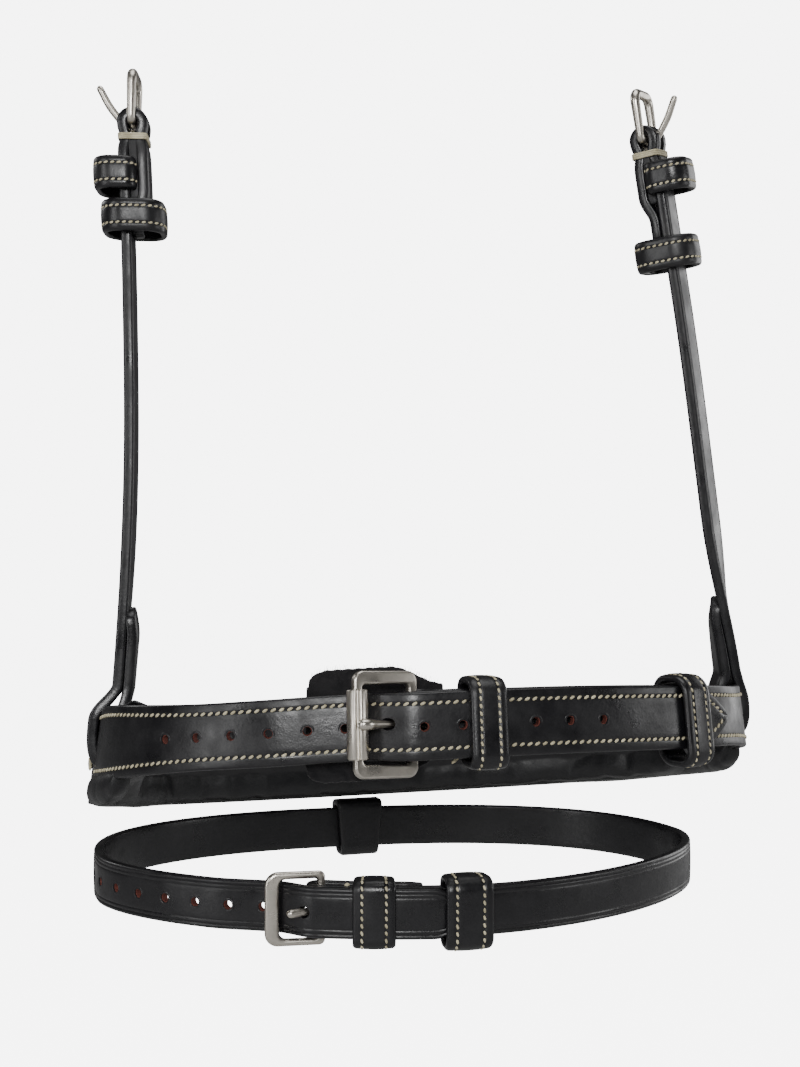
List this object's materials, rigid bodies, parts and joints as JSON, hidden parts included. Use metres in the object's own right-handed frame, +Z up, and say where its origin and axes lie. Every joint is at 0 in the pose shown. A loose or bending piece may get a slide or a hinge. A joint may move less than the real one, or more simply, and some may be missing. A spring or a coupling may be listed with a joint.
{
  "type": "bridle flash noseband",
  "caption": "Padded leather noseband with a buckled chin strap, two buckled cheek hangers and a separate flash strap carried in a loop under the nose.",
  "frame": {"origin": "middle of the flat stretch of the nosepiece lining that rests on the bridge of the nose", "axes": "+X to the horse's right, +Y out over the nose away from the chin, +Z up along the cheek hangers"},
  "size_m": [0.245, 0.1804, 0.2943],
  "materials": {
    "leather": "black bridle leather, smooth with a soft wax sheen",
    "padding_leather": "soft black lining leather, matte",
    "guard_suede": "black suede, matte and napped",
    "satin_nickel": "satin nickel, softly worn",
    "waxed_thread": "cream waxed thread"
  },
  "bodies": {
    "noseband": {"nosepiece_leather": "leather", "nosepiece_padding": "padding_leather", "nosepiece_lining": "padding_leather", "billet_strap": "leather", "billet_lining": "padding_leather", "buckle_strap": "leather", "buckle_strap_lining": "padding_leather", "chin_guard": "guard_suede", "noseband_fixed_keeper": "leather"},
    "roller_buckle": {"roller_buckle_frame": "satin_nickel"},
    "buckle_roller": {"buckle_roller": "satin_nickel"},
    "roller_tongue": {"roller_buckle_tongue": "satin_nickel"},
    "noseband_keeper": {"noseband_running_keeper": "leather"},
    "hanger_loop_left": {"hanger_loop_left": "leather"},
    "hanger_left": {"hanger_strap_left": "leather", "hanger_fixed_keeper_left": "leather", "hanger_thread_binding_left": "waxed_thread"},
    "hanger_buckle_left": {"hanger_buckle_frame_left": "satin_nickel"},
    "hanger_tongue_left": {"hanger_buckle_tongue_left": "satin_nickel"},
    "hanger_keeper_left": {"hanger_running_keeper_left": "leather"},
    "hanger_loop_right": {"hanger_loop_right": "leather"},
    "hanger_right": {"hanger_strap_right": "leather", "hanger_fixed_keeper_right": "leather", "hanger_thread_binding_right": "waxed_thread"},
    "hanger_buckle_right": {"hanger_buckle_frame_right": "satin_nickel"},
    "hanger_tongue_right": {"hanger_buckle_tongue_right": "satin_nickel"},
    "hanger_keeper_right": {"hanger_running_keeper_right": "leather"},
    "flash_loop": {"flash_loop": "leather"},
    "flash_strap": {"flash_strap": "leather", "flash_fixed_keeper": "leather"},
    "flash_buckle": {"flash_buckle_frame": "satin_nickel"},
    "flash_tongue": {"flash_buckle_tongue": "satin_nickel"},
    "flash_keeper": {"flash_running_keeper": "leather"}
  },
  "joints": [
    {"name": "roller_buckle_turn", "type": "hinge", "parent": "noseband", "child": "roller_buckle", "pos_m": [-0.03357, -0.15021, 0.02903], "axis": [0.0198, 0.1175, 0.9929], "range_deg": [0, 2.5]},
    {"name": "roller_spin", "type": "hinge", "parent": "roller_buckle", "child": "buckle_roller", "pos_m": [-0.0523, -0.15327, 0.02976], "axis": [0.0198, 0.1175, 0.9929], "continuous": true},
    {"name": "roller_tongue_turn", "type": "hinge", "parent": "roller_buckle", "child": "roller_tongue", "pos_m": [-0.03357, -0.15021, 0.02903], "axis": [0.0198, 0.1175, 0.9929], "range_deg": [0, 4]},
    {"name": "noseband_keeper_slide", "type": "hinge", "parent": "noseband", "child": "noseband_keeper", "pos_m": [0.0176, -0.03301, 0], "axis": [0, 0, 1], "range_deg": [-3, 5]},
    {"name": "hanger_loop_slide_left", "type": "hinge", "parent": "noseband", "child": "hanger_loop_left", "pos_m": [-0.04877, -0.07114, 0], "axis": [0, 0, 1], "range_deg": [-1, 2]},
    {"name": "hanger_swing_left", "type": "hinge", "parent": "hanger_loop_left", "child": "hanger_left", "pos_m": [-0.10643, -0.05527, 0.06419], "axis": [0.2735, 0.9616, -0.0235], "range_deg": [-20, 20], "stiffness_Nm_per_rad": 0.5},
    {"name": "hanger_buckle_turn_left", "type": "hinge", "parent": "hanger_left", "child": "hanger_buckle_left", "pos_m": [-0.10281, -0.05217, 0.23292], "axis": [-0.3089, -0.9508, 0.0241], "range_deg": [-30, 25]},
    {"name": "hanger_tongue_turn_left", "type": "hinge", "parent": "hanger_buckle_left", "child": "hanger_tongue_left", "pos_m": [-0.10281, -0.05217, 0.23292], "axis": [-0.3089, -0.9508, 0.0241], "range_deg": [-30, 25]},
    {"name": "hanger_keeper_slide_left", "type": "slide", "parent": "hanger_left", "child": "hanger_keeper_left", "axis": [-0.0296, 0.0349, 0.999], "range_m": [-0.03, 0.0025], "stiffness_N_per_m": 20},
    {"name": "hanger_loop_slide_right", "type": "hinge", "parent": "noseband", "child": "hanger_loop_right", "pos_m": [0.04959, -0.07673, 0], "axis": [0, 0, -1], "range_deg": [-1, 2]},
    {"name": "hanger_swing_right", "type": "hinge", "parent": "hanger_loop_right", "child": "hanger_right", "pos_m": [0.10874, -0.09474, 0.06705], "axis": [-0.5373, -0.8392, -0.0839], "range_deg": [-20, 20], "stiffness_Nm_per_rad": 0.5},
    {"name": "hanger_buckle_turn_right", "type": "hinge", "parent": "hanger_right", "child": "hanger_buckle_right", "pos_m": [0.07944, -0.09257, 0.23288], "axis": [0.7264, 0.6774, 0.1164], "range_deg": [-30, 25]},
    {"name": "hanger_tongue_turn_right", "type": "hinge", "parent": "hanger_buckle_right", "child": "hanger_tongue_right", "pos_m": [0.07944, -0.09257, 0.23288], "axis": [0.7264, 0.6774, 0.1164], "range_deg": [-30, 25]},
    {"name": "hanger_keeper_slide_right", "type": "slide", "parent": "hanger_right", "child": "hanger_keeper_right", "axis": [-0.1673, 0.01, 0.9859], "range_m": [-0.03, 0.014], "stiffness_N_per_m": 20},
    {"name": "flash_loop_swing", "type": "hinge", "parent": "noseband", "child": "flash_loop", "pos_m": [0, 0.00947, -0.0199], "axis": [1, 0, 0], "range_deg": [-8, 20], "stiffness_Nm_per_rad": 3},
    {"name": "flash_strap_slide", "type": "hinge", "parent": "flash_loop", "child": "flash_strap", "pos_m": [-0.00342, -0.23231, 0], "axis": [0, 0, 1], "range_deg": [-3, 3]},
    {"name": "flash_buckle_turn", "type": "hinge", "parent": "flash_strap", "child": "flash_buckle", "pos_m": [-0.05714, -0.13064, -0.03037], "axis": [0, 0, 1], "range_deg": [0, 3]},
    {"name": "flash_tongue_turn", "type": "hinge", "parent": "flash_buckle", "child": "flash_tongue", "pos_m": [-0.05714, -0.13064, -0.03037], "axis": [0, 0, 1], "range_deg": [0, 5]},
    {"name": "flash_keeper_slide", "type": "hinge", "parent": "flash_strap", "child": "flash_keeper", "pos_m": [-0.00638, -0.05777, 0], "axis": [0, 0, 1], "range_deg": [-2.5, 7]}
  ]
}
